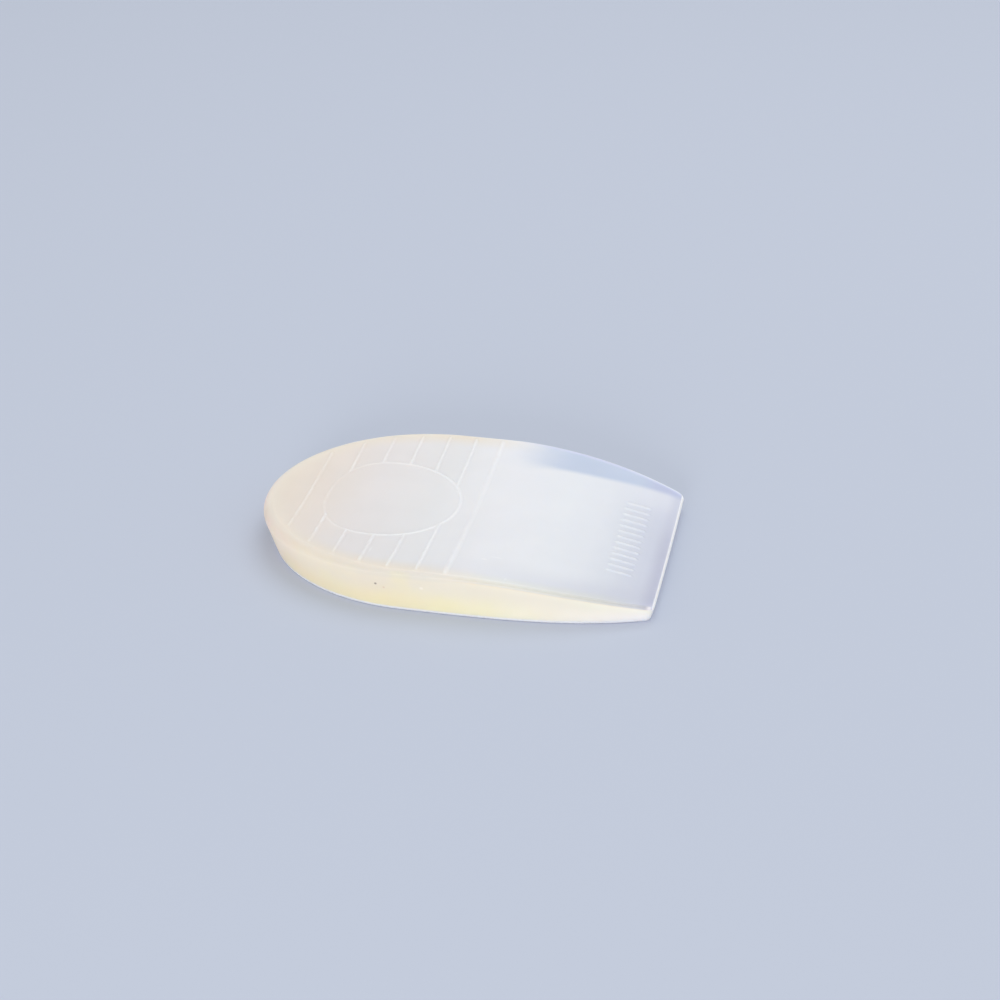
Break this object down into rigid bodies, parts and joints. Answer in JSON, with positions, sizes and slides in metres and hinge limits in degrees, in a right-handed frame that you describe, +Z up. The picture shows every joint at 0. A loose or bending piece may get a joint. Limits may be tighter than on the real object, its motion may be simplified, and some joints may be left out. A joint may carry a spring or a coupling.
{
  "type": "silicone heel lift",
  "caption": "Wedge-shaped silicone heel lift for inside a shoe: thick under the heel, thin at the front, with a shallow dish, a raised ring and raised cross ribs.",
  "frame": {"origin": "centre of the lift's plan, at the underside", "axes": "+X from the back of the heel to the thin front edge, +Y across the lift, +Z up"},
  "size_m": [0.096, 0.067, 0.0108],
  "materials": {
    "silicone": "matte milky translucent silicone"
  },
  "bodies": {
    "root": {"heel_lift": "silicone"}
  },
  "joints": []
}
